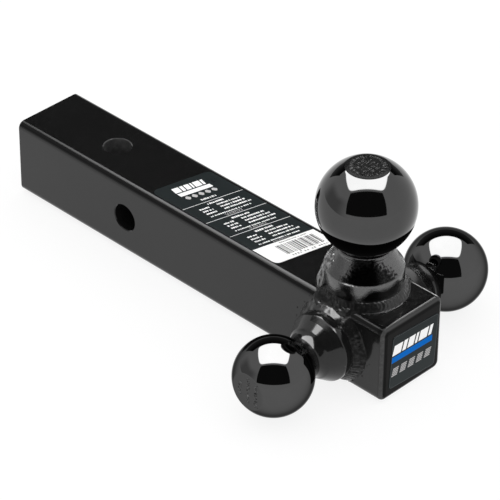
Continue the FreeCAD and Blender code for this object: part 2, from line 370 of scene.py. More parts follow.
def make_painted_weld():
    """Gloss black paint over a rippled bead, darker on the small ball's side as a painted dark reflection."""
    paint = Shader("painted_weld")
    paint.set(ior=1.42)
    lumps = paint.noise(420.0, 5.0, 0.6)
    across = paint.position("Y")
    # Painted dark reflection: towards the small ball's side the bead is darker and less shiny.
    lighter_side = paint.past(across, 0.0, *DARK_SIDE_ACROSS)
    paint.colour(paint.mix(lighter_side, paint.ramp(lumps, greys(0.004, 0.010, end=0.72)),
                           paint.ramp(lumps, greys(0.007, 0.021, end=0.72))))
    pool = paint.times(paint.spread(across, 1.0, 0.0, *POOL_ACROSS),
                       paint.past(paint.position("Z"), 0.0, *POOL_UP))
    streaks = paint.spread(lumps, 0.0, 1.0, 0.42, 0.62)
    gloss = paint.math("MAXIMUM", paint.spread(paint.math("MAXIMUM", lighter_side, pool), 0.0, 0.55, 0.0, 1.0),
                       paint.spread(streaks, 0.12, 0.34, 0.0, 1.0))
    paint.link(gloss, "Specular IOR Level")
    paint.roughness(paint.spread(paint.noise(700.0, 3.0), 0.12, 0.3))
    paint.bump((lumps, 0.3, 0.14 * MM), (paint.noise(1700.0, 3.0), 0.35, 0.04 * MM))
    return paint.material


def make_print(name, colour, wear_and_highlight, specular=0.5):
    """Ink on vinyl, thinned a little by rubbing."""
    return make_finish(name, (900.0, 4.0, 0.6), [(0.26, wear_and_highlight), (0.36, colour)], (300.0, 3.0), (0.34, 0.46),
                       ((1500.0, 2.0), 0.15, 0.01), ior=1.45, specular_ior_level=specular)


def make_vinyl(name, dark, light, specular):
    """Charcoal vinyl film with a faint calendered grain."""
    return make_finish(name, (120.0, 5.0, 0.6), [(0.3, dark), (0.72, light)], (420.0, 4.0), (0.1, 0.15),
                       ((1400.0, 2.0, 0.55, (1.0, 0.35, 1.0)), 0.2, 0.004),
                       ior=1.4, specular_ior_level=specular)


# ---- stage ----

FLOOR_SIZE = 14.0
FLOOR_SHADE = 0.19
FLOOR_GLOW = 0.84
SOFTBOX_HEIGHT = 1.5
SOFTBOX_GLOW = 12.5
SOFTBOX_EDGE = 0.05
CARD_STEPS = 48
# Radius in millimetres and glow of each ring round the large ball's neck, outwards.
UNDER_DISC_RINGS = ((16.7, 0.01), (40.0, 0.01), (40.0, 1.3), (47.0, 1.1), (60.0, 1.0))
DISC_WAVE = 0.03
RIM_GAP = 0.1


def make_object(name, points, faces, materials):
    mesh = bpy.data.meshes.new(name)
    mesh.from_pydata([tuple(point) for point in points], [], faces)
    for material in materials:
        mesh.materials.append(material)
    item = bpy.data.objects.new(name, mesh)
    bpy.context.scene.collection.objects.link(item)
    return item


def stage_mesh(name, points, faces, material):
    plane = make_object(name, points, faces, [material])
    return plane


def make_glow_material(name, clear_front=False):
    """Emission whose strength is read from each point of a card; the card's front may be clear."""
    material = bpy.data.materials.new(name)
    material.use_nodes = True
    tree = material.node_tree
    tree.nodes.clear()
    strength = add_node(tree, "Attribute", "Fac", {}, attribute_name="glow")
    surface = add_node(tree, "Emission", "Emission", {"Strength": strength})
    if clear_front:
        backfacing = add_node(tree, "NewGeometry", "Backfacing", {})
        clear = add_node(tree, "BsdfTransparent", "BSDF", {})
        surface = add_node(tree, "MixShader", "Shader", {0: backfacing, 1: clear, 2: surface})
    tree.links.new(surface, tree.nodes.new("ShaderNodeOutputMaterial").inputs["Surface"])
    return material


def reflection_only(card, strengths):
    """Hides a card from everything but reflections and gives each of its points a strength."""
    glow = card.data.attributes.new("glow", "FLOAT", "POINT")
    glow.data.foreach_set("value", strengths)
    card.visible_camera = card.visible_diffuse = card.visible_shadow = card.visible_transmission = False


def reflector(name, corners, glow, material):
    """A card that only shows in reflections; glow(s, t) gives its strength from its first corner on."""
    first, second, third, fourth = corners
    steps = np.linspace(0.0, 1.0, CARD_STEPS + 1)
    points = [first.lerp(second, s).lerp(fourth.lerp(third, s), t) for t in steps for s in steps]
    row = CARD_STEPS + 1
    starts = [j * row + i for j in range(CARD_STEPS) for i in range(CARD_STEPS)]
    faces = [(start, start + 1, start + row + 1, start + row) for start in starts]
    reflection_only(stage_mesh(name, points, faces, material), [glow(s, t) for t in steps for s in steps])


def make_under_disc(material):
    """A black disc round the large ball's neck, which only the ball above it sees.

    Its pale rim is open over the shank, so that the ball still reflects the shank there.
    """
    level = HALF_SIDE + BALLS["large"]["rim_height"] - 0.3 * MM
    points, strengths = [], []
    for radius, strength in UNDER_DISC_RINGS:
        for step in range(CARD_STEPS):
            angle = TAU * step / CARD_STEPS
            reach = radius * MM * (1.0 + DISC_WAVE * sin(3.0 * angle))
            points.append(Vector((STATION_X + reach * cos(angle), reach * sin(angle), level)))
            strengths.append(strength)
    rim_start = 2 * CARD_STEPS
    faces = [face for number, face in enumerate(grid_faces(len(UNDER_DISC_RINGS), CARD_STEPS))
             if number < rim_start or abs((number % CARD_STEPS + 0.5) / CARD_STEPS - 0.5) > RIM_GAP]
    reflection_only(stage_mesh("under_disc", points, faces, material), strengths)


def studio_points(*places):
    """Points of the studio, in softbox heights, along the camera's right, towards it, and up."""
    right, towards = camera_axes()
    centre = Vector((STATION_X, 0.0, 0.0))
    up = Vector((0.0, 0.0, 1.0))
    return [centre + (right * x + towards * y + up * z) * SOFTBOX_HEIGHT for x, y, z in places]


def smooth(value):
    value = min(1.0, max(0.0, value))
    return value * value * (3.0 - 2.0 * value)


def softbox_glow(s, t):
    """Full strength inside a rounded rectangle, fading to the room's white at its edge."""
    reach = ((2.0 * s - 1.0) ** 8 + (2.0 * t - 1.0) ** 8) ** 0.125
    return 1.0 + (SOFTBOX_GLOW - 1.0) * smooth((1.0 - reach) / SOFTBOX_EDGE)


# Each card's corners along the camera's right, towards the camera and up, in softbox heights, and its glow.
# s runs from the first corner to the second, and t from them to the other two.
CARDS = {
    "softbox": (((-0.8, 0.36, 1), (0.7, 0.36, 1), (0.8, -1.08, 1), (-0.8, -1.08, 1)), softbox_glow),
    "front_flag": (((-0.76, 0.44, 1), (0.65, 0.44, 1), (0.65, 0.71, 0.156), (-0.76, 0.71, 0.156)),
                   lambda s, t: 0.04),
    "rear_flag": (((-1.3, -1.1, 1), (1.3, -1.1, 1), (1.5, -1.7, 0.25), (-1.5, -1.7, 0.25)),
                  lambda s, t: 0.02 + 0.2 * t * t),
    "side_wall": (((-1.9, -1.4, 1.2), (-1.9, 0.3, 1.2), (-1.9, 0.3, -0.02), (-1.9, -1.4, -0.02)),
                  lambda s, t: 1.0 - 0.5 * smooth(s / 0.6) * smooth(t / 0.5)),
    "corner_wall": (((-1.9, 0.3, 1.2), (-1.0, 1.2, 1.2), (-1.0, 1.2, -0.02), (-1.9, 0.3, -0.02)),
                    lambda s, t: 1.0 - 0.5 * smooth((1.0 - s) / 0.8) * smooth(t / 0.5)),
}


def make_floor():
    shader = Shader("pale_floor")
    shader.set(base_color=(FLOOR_SHADE, FLOOR_SHADE, FLOOR_SHADE, 1.0), roughness=1.0, specular_ior_level=0.0,
               emission_color=(1.0, 1.0, 1.0, 1.0), emission_strength=FLOOR_GLOW)
    half = FLOOR_SIZE / 2.0
    level = cad_bounds[0].z
    corners = [(-half, -half, level), (half, -half, level), (half, half, level), (-half, half, level)]
    stage_mesh("floor", corners, [(0, 1, 2, 3)], shader.material)


def make_stage():
    scene = bpy.context.scene
    scene.view_settings.view_transform = "Standard"
    scene.world = bpy.data.worlds.new("studio")
    scene.world.use_nodes = True
    background = scene.world.node_tree.nodes["Background"]
    background.inputs["Color"].default_value = (1.0, 1.0, 1.0, 1.0)
    background.inputs["Strength"].default_value = 1.0
    make_floor()
    make_under_disc(make_glow_material("disc_glow", clear_front=True))
    card_glow = make_glow_material("card_glow")
    for name, (corners, glow) in CARDS.items():
        reflector(name, studio_points(*corners), glow, card_glow)


# ---- mesh helpers ----

def make_piece(name, points, faces, materials, indices=None, sharp=40.0):
    """A smooth-shaded mesh piece that rides on the object, with the materials given."""
    piece = make_object(name, points, faces, materials)
    mesh = piece.data
    if indices is not None:
        mesh.polygons.foreach_set("material_index", indices)
    mesh.shade_smooth()
    mesh.set_sharp_from_angle(angle=radians(sharp))
    mesh.validate()
    mesh.update()
    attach(piece, BODY)
    return piece


def grid_faces(rows, columns, close_rows=False):
    """Quads over rows of points that run round and meet themselves."""
    faces = []
    for row in range(rows if close_rows else rows - 1):
        below = row * columns
        above = (row + 1) % rows * columns
        for column in range(columns):
            beside = (column + 1) % columns
            faces.append((below + column, below + beside, above + beside, above + column))
    return faces


def capped_faces(rows, columns):
    """Quads over rows of points, closed by a flat face at the first row and one at the last."""
    faces = grid_faces(rows, columns)
    last_row = (rows - 1) * columns
    return faces + [tuple(reversed(range(columns))), tuple(range(last_row, last_row + columns))]


def closed_faces(rows, columns):
    """Quads over rows of points, closed by fans to two more points that come after the rows."""
    faces = grid_faces(rows, columns)
    pole = rows * columns
    last_row = pole - columns
    for step in range(columns):
        beside = (step + 1) % columns
        faces.append((beside, step, pole))
        faces.append((last_row + step, last_row + beside, pole + 1))
    return faces


def arc_points(centre, radius, start, end, count):
    """Points of an arc in (radius, height), angles in degrees from the radius axis."""
    angles = np.radians(np.linspace(start, end, count))
    return [(centre[0] + radius * cos(a), centre[1] + radius * sin(a)) for a in angles]


def arc_through(first, middle, last, count):
    """Points of the arc through three points, without its first one."""
    (ax, ay), (bx, by), (cx, cy) = first, middle, last
    a, b, c = ax * ax + ay * ay, bx * bx + by * by, cx * cx + cy * cy
    d = 2.0 * (ax * (by - cy) + bx * (cy - ay) + cx * (ay - by))
    ux = (a * (by - cy) + b * (cy - ay) + c * (ay - by)) / d
    uy = (a * (cx - bx) + b * (ax - cx) + c * (bx - ax)) / d
    start = degrees(atan2(ay - uy, ax - ux)) % 360.0
    end = degrees(atan2(cy - uy, cx - ux)) % 360.0
    return arc_points((ux, uy), hypot(ax - ux, ay - uy), start, end, count)[1:]


def rounded_corner(before, corner, after, reach, count=6):
    """Points that round a corner of a profile, starting and ending reach away from it."""
    corner = np.array(corner)
    runs = (np.array(before) - corner, np.array(after) - corner)
    start, end = (corner + run * reach / hypot(*run) for run in runs)
    return [tuple((1 - t) ** 2 * start + 2 * t * (1 - t) * corner + t * t * end)
            for t in np.linspace(0.0, 1.0, count)]


def place_on_face(points, turn):
    """Moves points from a ball's own upright frame to its face of the shank."""
    move = Matrix.Rotation(radians(turn), 3, "X")
    lift = Vector((0.0, 0.0, HALF_SIDE))
    station = Vector((STATION_X, 0.0, 0.0))
    return [move @ (Vector(point) + lift) + station for point in points]


# ---- coupler balls ----

LATHE_STEPS = 224
FLAT_RING_STEP = 0.22 * MM
STAMP_DEPTH = 0.22 * MM
STAMP_HALF_WIDTH = 0.26 * MM
STAMP_FLOOR = 0.4
DULL_TOP_RADIUS = 13.2 * MM
BRIGHT_NECK = 5.0 * MM
POLISHED, BASE, DULL_TOP, MARK, SHADE_PAINTED = range(5)
FOOT_CHAMFER, COLLAR_ROUND, RIM_ROUND = 1.0 * MM, 0.9 * MM, 0.55 * MM
NECK_HOLLOW = 0.2 * MM
NECK_POINTS, BALL_POINTS, BLEND_POINTS = 22, 64, 12

# Rows of stamped signs, in millimetres: on the large flat a ring and four rows, on a side flat three columns.
RING_MARKS, RING_RADIUS, RING_SIZE = 21, 9.4, (3.0, 2.1)
TOP_ROWS, TOP_PITCH, TOP_SIZE = ((-4.9, 3), (-1.7, 5), (1.7, 5), (4.9, 3)), 2.7, (2.9, 1.9)
SIDE_COLUMNS, SIDE_PITCH, SIDE_SIZE = ((-6.2, 5), (0.0, 10), (6.2, 9)), 1.95, (3.0, 1.0)


def ball_profile(ball):
    """The turned outline from the base up to the edge of the flat, and the height of the flat."""
    collar, collar_top = ball["collar"], ball["collar_height"]
    rim = (ball["rim"], ball["rim_height"])
    neck, radius, centre = ball["neck"], ball["ball"], ball["centre"]
    flat, blend = ball["flat"], ball["blend"]
    neck_top = (neck, centre - sqrt(radius ** 2 - neck ** 2))
    hollow = (neck - NECK_HOLLOW, (rim[1] + neck_top[1]) / 2.0)
    rise = sqrt((radius - blend) ** 2 - flat ** 2)
    lean = degrees(atan2(rise, flat))

    outline = [(collar - FOOT_CHAMFER, 0.0), (collar, FOOT_CHAMFER)]
    outline += rounded_corner((collar, 0.0), (collar, collar_top), rim, COLLAR_ROUND)
    outline.append((0.6 * collar + 0.4 * rim[0], 0.6 * collar_top + 0.4 * rim[1]))
    neck_arc = arc_through(rim, hollow, neck_top, NECK_POINTS)
    outline += rounded_corner((collar, collar_top), rim, neck_arc[1], RIM_ROUND)
    outline += [point for point in neck_arc if point[1] > outline[-1][1] + 0.2 * MM]
    neck_angle = degrees(atan2(neck_top[1] - centre, neck))
    outline += arc_points((0.0, centre), radius, neck_angle, lean, BALL_POINTS)[1:]
    outline += arc_points((flat, centre + rise), blend, lean, 90.0, BLEND_POINTS)[1:]
    return outline, centre + rise + blend


def stamp_strokes(ball_name):
    """Short strokes of generic tally marks on a flat, as pairs of end points in millimetres."""
    draw = random.Random(BALLS[ball_name]["seed"])
    strokes = []

    def tally(x, y, turn, tall, wide):
        """One made-up sign: parallel strokes of uneven length, at times with a slash."""
        along = Vector((cos(radians(turn)), sin(radians(turn))))
        across = Vector((-along.y, along.x))
        centre = Vector((x, y))
        for offset in draw.choice(((-0.3, 0.3), (-0.3, 0.3), (-0.4, 0.0, 0.4), (0.1,))):
            middle = centre + across * offset * wide + along * draw.uniform(-0.16, 0.16) * tall
            reach = along * draw.uniform(0.16, 0.42) * tall
            strokes.append((middle - reach, middle + reach))
        if draw.random() < 0.4:
            slash = along * 0.3 * tall + across * 0.3 * wide
            strokes.append((centre - slash, centre + slash))

    if ball_name == "large":
        for step in range(RING_MARKS):
            angle = 360.0 * step / RING_MARKS
            place = RING_RADIUS * Vector((cos(radians(angle)), sin(radians(angle))))
            tally(place.x, place.y, angle, *RING_SIZE)
        for y, count in TOP_ROWS:
            for step in range(count):
                tally((step - (count - 1) / 2.0) * TOP_PITCH, y, 90.0, *TOP_SIZE)
    else:
        for x, count in SIDE_COLUMNS:
            for step in range(count):
                tally(x, (step - (count - 1) / 2.0) * SIDE_PITCH, 0.0, *SIDE_SIZE)
    return strokes


def stamped_depth(points, strokes):
    """How deep a stamp has pressed each (x, y) point of a flat."""
    points = np.asarray(points)
    depth = np.zeros(len(points))
    for start, end in strokes:
        a = np.array(start) * MM
        b = np.array(end) * MM
        run = b - a
        t = np.clip(((points - a) @ run) / max(run @ run, 1e-12), 0.0, 1.0)
        distance = np.linalg.norm(points - a - t[:, None] * run, axis=1)
        press = np.clip(1.35 - distance / STAMP_HALF_WIDTH, 0.0, 1.0)
        depth = np.maximum(depth, press * press * (3.0 - 2.0 * press))
    return depth * STAMP_DEPTH


def ball_finishes(name, points, faces, depth, neck_height):
    """Which finish each face takes."""
    ball = BALLS[name]
    large = name == "large"

    # Faces that take the painted shade: the neck and a patch of the base.
    def in_painted_shade(x, y, z):
        from_front = degrees(atan2(y * ball["top"], x))
        (first, last), (low, high) = ball["shade_arc"], ball["shade_rise"]
        in_neck = ball["rim_height"] + BRIGHT_NECK < z < neck_height + 0.5 * MM
        return in_neck or (first < from_front < last and low < z < high)

    indices = []
    for face in faces:
        x, y, z = points[face[0]]
        pressed = sum(depth[corner] if corner < len(depth) else 0.0 for corner in face)
        if pressed > STAMP_FLOOR * STAMP_DEPTH * len(face):
            indices.append(MARK)
        elif large and z > ball["centre"] and hypot(x, y) < DULL_TOP_RADIUS:
            indices.append(DULL_TOP)
        elif not large and in_painted_shade(x, y, z):
            indices.append(SHADE_PAINTED)
        else:
            indices.append(BASE if z < neck_height else POLISHED)
    return indices


def make_ball(name, finishes):
    """One forging as a fine turned mesh, with marks stamped into its flat."""
    ball = BALLS[name]
    outline, flat_height = ball_profile(ball)
    flat_rings = np.arange(ball["flat"] - FLAT_RING_STEP, FLAT_RING_STEP, -FLAT_RING_STEP)
    profile = outline + [(radius, flat_height) for radius in flat_rings]
    angles = np.linspace(0.0, TAU, LATHE_STEPS, endpoint=False)
    circle = np.stack([np.cos(angles), np.sin(angles)], axis=1)
    plan = np.concatenate([circle * radius for radius, _ in profile])
    heights = np.repeat([height for _, height in profile], LATHE_STEPS)
    stamped_reach = DULL_TOP_RADIUS if name == "large" else ball["flat"]
    depth = stamped_depth(plan, stamp_strokes(name))
    depth[heights < ball["centre"]] = 0.0
    depth[np.linalg.norm(plan, axis=1) > stamped_reach] = 0.0
    points = [(x, y, z) for (x, y), z in zip(plan, heights - depth)]

    points += [(0.0, 0.0, 0.0), (0.0, 0.0, flat_height)]
    faces = closed_faces(len(profile), LATHE_STEPS)
    neck_height = ball["centre"] - sqrt(ball["ball"] ** 2 - ball["neck"] ** 2)
    indices = ball_finishes(name, points, faces, depth, neck_height)
    piece = make_piece("coupler_ball_" + name, place_on_face(points, ball["turn"]), faces,
                       finishes, indices, sharp=50.0)
    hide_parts("ball_" + name)


# ---- welds ----

WELD_STEPS = 420
WELD_ROWS = 15
RIPPLE_PITCH = 2.3 * MM
RIPPLE_HEIGHT = 0.16 * MM
GRAIN_HEIGHT = 0.14 * MM
TOE_WANDER = 0.45 * MM
TOE_LIFT = 0.22 * MM
CREST_WANDER = 0.35 * MM
BEAD_SWELL = 0.2 * MM
RIPPLE_LAG = 0.55
# The foot under the bead, in millimetres: reach past the toe and height, then the same from the collar.
OUTER_FOOT, INNER_FOOT = ((0.45, -0.06), (-1.0, -0.8)), (-0.5, 0.3)
WANDER_SCALES, CREST_SCALE = (2.6, 9.0), 5.0
GRAIN_SCALES, POOL_SCALE = (620.0, 1500.0), 280.0
MOLTEN_FROM, MOLTEN_SPAN = 0.48, 0.24
POOL_SWELL = 0.3 * MM
POOL_FACET_TILT = 50.0
POOL_FACET_REACH = 3.2 * MM
POOL_FACET_SHARE = 0.85


def over_edge(along, across, height):
    """A point at a height over the shank's skin, going round its long edges, in a ball's upright frame."""
    side = copysign(1.0, across)
    reach = abs(across) - FLAT_HALF
    if reach <= 0.0:
        return Vector((along, across, height))
    turn = min(reach / EDGE_RADIUS, pi / 2.0)
    spare = reach - turn * EDGE_RADIUS
    y = FLAT_HALF + (EDGE_RADIUS + height) * sin(turn)
    z = (EDGE_RADIUS + height) * cos(turn) - EDGE_RADIUS - spare
    return Vector((along, side * y, z))


def grain(place, scale, seed):
    """Seeded noise in [-1, 1] for features of about 1 / scale metres."""
    return noise.noise(Vector(place) * scale + Vector((seed, -seed * 1.7, seed * 0.6)))


def make_weld_ring(name, material):
    """A fillet weld round a collar: stacked ripples, a wandering toe, and a foot under the skin."""
    ball = BALLS[name]
    seed = ball["seed"]
    collar, top = ball["collar"], ball["weld_height"]
    loops = [[] for _ in range(WELD_ROWS + 3)]
    for step in range(WELD_STEPS):
        angle = TAU * step / WELD_STEPS
        direction = Vector((cos(angle), sin(angle), 0.0))
        wander = grain(direction, WANDER_SCALES[0], seed) + 0.5 * grain(direction, WANDER_SCALES[1], seed + 5)
        toe = ball["toe"] + TOE_WANDER * wander
        crest = top + CREST_WANDER * grain(direction, CREST_SCALE, seed + 9)
        start = direction * collar + Vector((0.0, 0.0, crest))
        end = over_edge(toe * direction.x, toe * direction.y, TOE_LIFT)
        molten = smooth((direction.y - MOLTEN_FROM) / MOLTEN_SPAN) if name == "small" else 0.0
        chord = end - start
        sideways = Vector((-direction.y, direction.x, 0.0))
        normal = sideways.cross(chord).normalized()
        if normal.dot(direction) < 0.0:
            normal.negate()
        for row in range(WELD_ROWS):
            s = row / (WELD_ROWS - 1)
            swell = 4.0 * s * (1.0 - s)
            place = start + chord * s
            phase = (angle * collar / RIPPLE_PITCH - RIPPLE_LAG * swell) % 1.0
            ripple = RIPPLE_HEIGHT * (1.0 - (2.0 * phase - 1.0) ** 2) * (1.0 - molten)
            coarse, fine = (grain(place, scale, seed) for scale in GRAIN_SCALES)
            lumps = GRAIN_HEIGHT * coarse + 0.6 * GRAIN_HEIGHT * fine
            lumps = lumps * (1.0 - 0.85 * molten) + POOL_SWELL * molten * grain(place, POOL_SCALE, seed + 2)
            proud = (ripple + lumps) * min(1.0, 1.6 * swell)
            loops[row].append(place + normal * (BEAD_SWELL * swell + proud))
        for row, (past_toe, height) in enumerate(OUTER_FOOT, start=WELD_ROWS):
            reach = toe + past_toe * MM
            loops[row].append(over_edge(reach * direction.x, reach * direction.y, height * MM))
        inside = direction * (collar + INNER_FOOT[0] * MM)
        loops[WELD_ROWS + 2].append(inside + Vector((0.0, 0.0, INNER_FOOT[1] * MM)))
    points = [place for loop in loops for place in loop]
    faces = [tuple(reversed(face)) for face in grid_faces(WELD_ROWS + 3, WELD_STEPS, close_rows=True)]
    piece = make_piece("weld_bead_" + name, place_on_face(points, ball["turn"]), faces, [material],
                       sharp=60.0)
    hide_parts("weld_" + name)


# Noise on a lump: the share of each layer, how much finer it is, and its shift of the seed.
LUMP_NOISE = ((1.0, 1.0, 0), (0.45, 2.4, 3), (0.2, 6.0, 7))


def make_lump(name, centre, axes, sizes, material, seed, rough=0.5 * MM, scale=230.0, pits=(), veins=0.0,
              rows=64, columns=96, power=2.0, facet=None):
    """A closed lump of weld: a rounded block along its axes, with seeded lumps, veins along it and pits.

    A facet is the direction and the reach of a plane where the pool has set level.
    """
    along, across, out = (Vector(axis).normalized() for axis in axes)
    length, width, depth = sizes

    def place_of(u, v):
        polar = (sin(u) * cos(v), sin(u) * sin(v))
        ball = Vector((cos(u), *polar))
        norm = sum(abs(part) ** power for part in ball) ** (1.0 / power)
        ball = ball / norm
        skin = along * ball.x * length + across * ball.y * width + out * ball.z * depth
        normal = (along * ball.x / length + across * ball.y / width + out * ball.z / depth).normalized()
        place = centre + skin
        swell = rough * sum(share * grain(place, scale * finer, seed + shift)
                            for share, finer, shift in LUMP_NOISE)
        if veins:
            bend = 2.2 * sin(2.4 * ball.x + seed)
            swell += veins * sin(7.0 * ball.y + bend + 3.0 * ball.x) * (1.0 - ball.x ** 2)
        place = place + normal * swell
        if facet:
            over = (place - centre).dot(facet[0]) - facet[1]
            place -= facet[0] * max(0.0, over) * POOL_FACET_SHARE
        for pit, radius, drop in pits:
            spot = centre + along * pit[0] + across * pit[1]
            flat_gap = (place - spot) - out * (place - spot).dot(out)
            if ball.z > 0.0:
                place -= normal * drop * smooth(1.0 - flat_gap.length / radius)
        return place

    points = [place_of(pi * (row + 1) / (rows + 1), TAU * column / columns)
              for row in range(rows) for column in range(columns)]
    points += [place_of(1e-4, 0.0), place_of(pi - 1e-4, 0.0)]
    return make_piece(name, points, closed_faces(rows, columns), [material], sharp=60.0)


# Pits in a pool: place along and down it, radius and drop, in millimetres.
POOL_PITS = ((-7.5, 2.6, 1.3, 0.9), (-4.0, -3.4, 1.0, 0.8), (0.5, -2.8, 1.1, 0.9), (4.5, -2.2, 1.2, 1.0),
             (7.5, 0.4, 1.1, 0.9), (-1.5, 3.4, 0.8, 0.7), (2.2, 2.8, 0.7, 0.6), (9.4, -1.8, 1.4, 1.0))
POOL_SIZE = (14.5 * MM, 6.6 * MM, 4.6 * MM)
POOL_INSET = 2.4 * MM


def make_corner_puddles(material):
    """The pools of weld over the two top long edges, where a side ring meets the top ring."""
    pits = [((x * MM, y * MM), radius * MM, drop * MM) for x, y, radius, drop in POOL_PITS]
    tilt = radians(POOL_FACET_TILT)
    for side, node, seed in ((-1.0, "weld_corner_small_side", 3.0), (1.0, "weld_corner_medium_side", 8.0)):
        outward = Vector((0.0, side, 1.0)).normalized()
        down = Vector((0.0, side, -1.0)).normalized()
        centre = Vector((STATION_X - 1.5 * MM, side * (HALF_SIDE - POOL_INSET), HALF_SIDE - POOL_INSET))
        level = Vector((0.0, side * sin(tilt), cos(tilt)))
        piece = make_lump("weld_pool_" + ("small" if side < 0 else "medium") + "_side", centre,
                          ((1, 0, 0), down, outward), POOL_SIZE, material, seed,
                          rough=0.85 * MM, scale=190.0, pits=pits, power=2.6, facet=(level, POOL_FACET_REACH))
        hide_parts(node)


def make_buildup_run(material):
    """Overlapping leaves of weld that climb the large ball's collar and skirt on one side."""
    ball = BALLS["large"]
    collar, rim = ball["collar"], ball["rim"]
    cone = Vector((rim - collar, 0.0, ball["rim_height"] - ball["collar_height"])).normalized()
    # Azimuth, height, radius, direction of climb, then length, width, depth (lengths in mm) and seed.
    leaves = [
        (232.0, 7.4, 24.6, Vector((-0.2, 0.05, 1.0)), 7.6, 3.9, 2.5, 4.0),
        (214.0, 6.5, 22.4, Vector((0.0, -0.25, 1.0)), 8.5, 4.6, 2.9, 9.0),
        (235.0, 19.2, 20.2, Vector((cone.x, 0.12, cone.z)), 7.3, 5.2, 3.0, 14.0),
        (207.0, 17.0, 18.8, Vector((cone.x, -0.2, cone.z)), 8.2, 4.6, 2.8, 21.0),
    ]
    for number, (azimuth, height, radius, lean, length, width, depth, seed) in enumerate(leaves, start=1):
        spin = Matrix.Rotation(radians(azimuth), 3, "Z")
        out = spin @ Vector((1.0, 0.0, 0.0))
        climb = (spin @ lean).normalized()
        across = climb.cross(out).normalized()
        facing = across.cross(climb).normalized()
        centre = Vector((STATION_X, 0.0, HALF_SIDE + height * MM)) + out * radius * MM
        piece = make_lump("weld_leaf_%d" % number, centre, (climb, across, facing),
                          (length * MM, width * MM, depth * MM), material, seed,
                          rough=0.22 * MM, scale=300.0, veins=0.5 * MM, power=1.5)
        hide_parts("weld_buildup_run")


SPATTER_COUNTS = {"large": 26, "small": 56, "medium": 48}
ON_SKIN = 26
BEAD_BANDS, BEAD_SIDES = 6, 10
# Reach past the toe and radius of a bead on the skin, in millimetres; radius and arc of one on a side weld.
SKIN_REACH, SKIN_RADIUS = (0.4, 3.2), (0.14, 0.42)
WELD_RADIUS, WELD_ARC = (0.3, 0.62), (0.3, 0.72)
FRONT_CLEARANCE = 3.0 * MM


def make_spatter(material):
    """Beads of spatter frozen on the skin round the welds, and on the upper part of the side welds."""
    draw = random.Random(5)
    points, faces = [], []
    bead_faces = capped_faces(BEAD_BANDS - 1, BEAD_SIDES)
    for name, count in SPATTER_COUNTS.items():
        ball = BALLS[name]
        for number in range(count):
            angle = draw.uniform(0.0, TAU)
            reach = ball["toe"] + draw.uniform(*SKIN_REACH) * MM
            radius = draw.uniform(*SKIN_RADIUS) * MM
            height = 0.2 * radius
            if number >= ON_SKIN:
                angle = ball["top"] * draw.uniform(*WELD_ARC) * pi
                share = draw.uniform(0.0, 1.0)
                reach = ball["collar"] + (ball["toe"] - ball["collar"]) * (0.3 + 0.8 * share)
                radius = draw.uniform(*WELD_RADIUS) * MM
                height = ball["weld_height"] * max(0.0, 0.66 - 0.8 * share)
            place = over_edge(reach * cos(angle), reach * sin(angle), height)
            if abs(reach * cos(angle)) > FRONT_X - STATION_X - FRONT_CLEARANCE:
                continue
            centre = place_on_face([place], ball["turn"])[0]
            base = len(points)
            for row in range(1, BEAD_BANDS):
                for column in range(BEAD_SIDES):
                    u = pi * row / BEAD_BANDS
                    v = TAU * column / BEAD_SIDES
                    points.append(centre + radius * Vector((sin(u) * cos(v),
                                                            sin(u) * sin(v), cos(u))))
            faces += [tuple(base + index for index in face) for face in bead_faces]
    make_piece("weld_spatter", points, faces, [material], sharp=80.0)


# ---- label and badge ----

PRINT_LIFT = 0.015 * MM
LABEL_SLANT = 0.245
LABEL_END_SLANT = 0.22
# The generic marks, in millimetres: left end, lower and upper edge, widths of the blocks, gap and lean.
LABEL_MARK = (-11.2, -33.2, -27.6, (4.4, 2.0, 3.2, 1.2, 4.4, 1.6), 0.75, 1.2)
BADGE_MARK = (-17.1, 3.3, 10.0, (7.2, 3.2, 5.2, 2.0, 7.2, 2.6), 1.15, 1.7)
# Distances down the label, in millimetres: its rules and the blocks of small print between them.
LABEL_RULES = (50.5, 70.5, 90.2)
LABEL_BLOCKS = (52.0, 72.5, 92.0)
STRIP_HALF, STRIP_BACK, STRIP_FRONT, STRIP_CORNER = 20.4, -109.0, -128.0, 3.6
BADGE_WIDTH = 39.4
BADGE_HEIGHT = 36.4
BADGE_CORNER = 2.6
BADGE_CENTRE = (1.8, -2.1)
BADGE_TILT = radians(-3.3)
BADGE_THICKNESS = 0.27 * MM
# The plate's softened edge: how far it is drawn in, in millimetres, at each share of the thickness.
BADGE_EDGE = ((0.0, 0.0), (0.0, 0.55), (0.05, 0.8), (0.16, 0.95), (0.3, 1.0))
MARK_TILT = radians(-1.9)


class Print:
    """Thin films of one ink, gathered into one piece; place(x, y, lift) puts millimetres on a face."""

    def __init__(self, place):
        self.place = place
        self.points = []
        self.faces = []

    def patch(self, corners):
        """A film on an outline."""
        base = len(self.points)
        for lift in (0.0, PRINT_LIFT):
            self.points += [self.place(x, y, lift) for x, y in corners]
        self.faces += [tuple(base + index for index in face) for face in capped_faces(2, len(corners))]

    def bar(self, x0, x1, y0, y1):
        self.patch([(x0, y0), (x1, y0), (x1, y1), (x0, y1)])

    def rule(self, outer, inner):
        """A thin closed line between two outlines of the same number of points."""
        for index in range(len(outer)):
            self.patch([outer[index - 1], outer[index], inner[index], inner[index - 1]])

    def finish(self, name, material, slot):
        return make_piece(name, self.points, self.faces, [material], sharp=30.0)


def small_print(sheet, draw, x0, x1, y, height, longest=1.3, gap=0.32):
    """A line of small print: a run of short bars of uneven length, with wider gaps between groups."""
    x = x0
    while x < x1 - 0.4:
        end = min(x1, x + draw.uniform(0.5, longest))
        sheet.bar(x, end, y, y + height * draw.choice((0.8, 1.0, 1.0)))
        x = end + gap * draw.choice((1.0, 1.0, 1.0, 2.6))


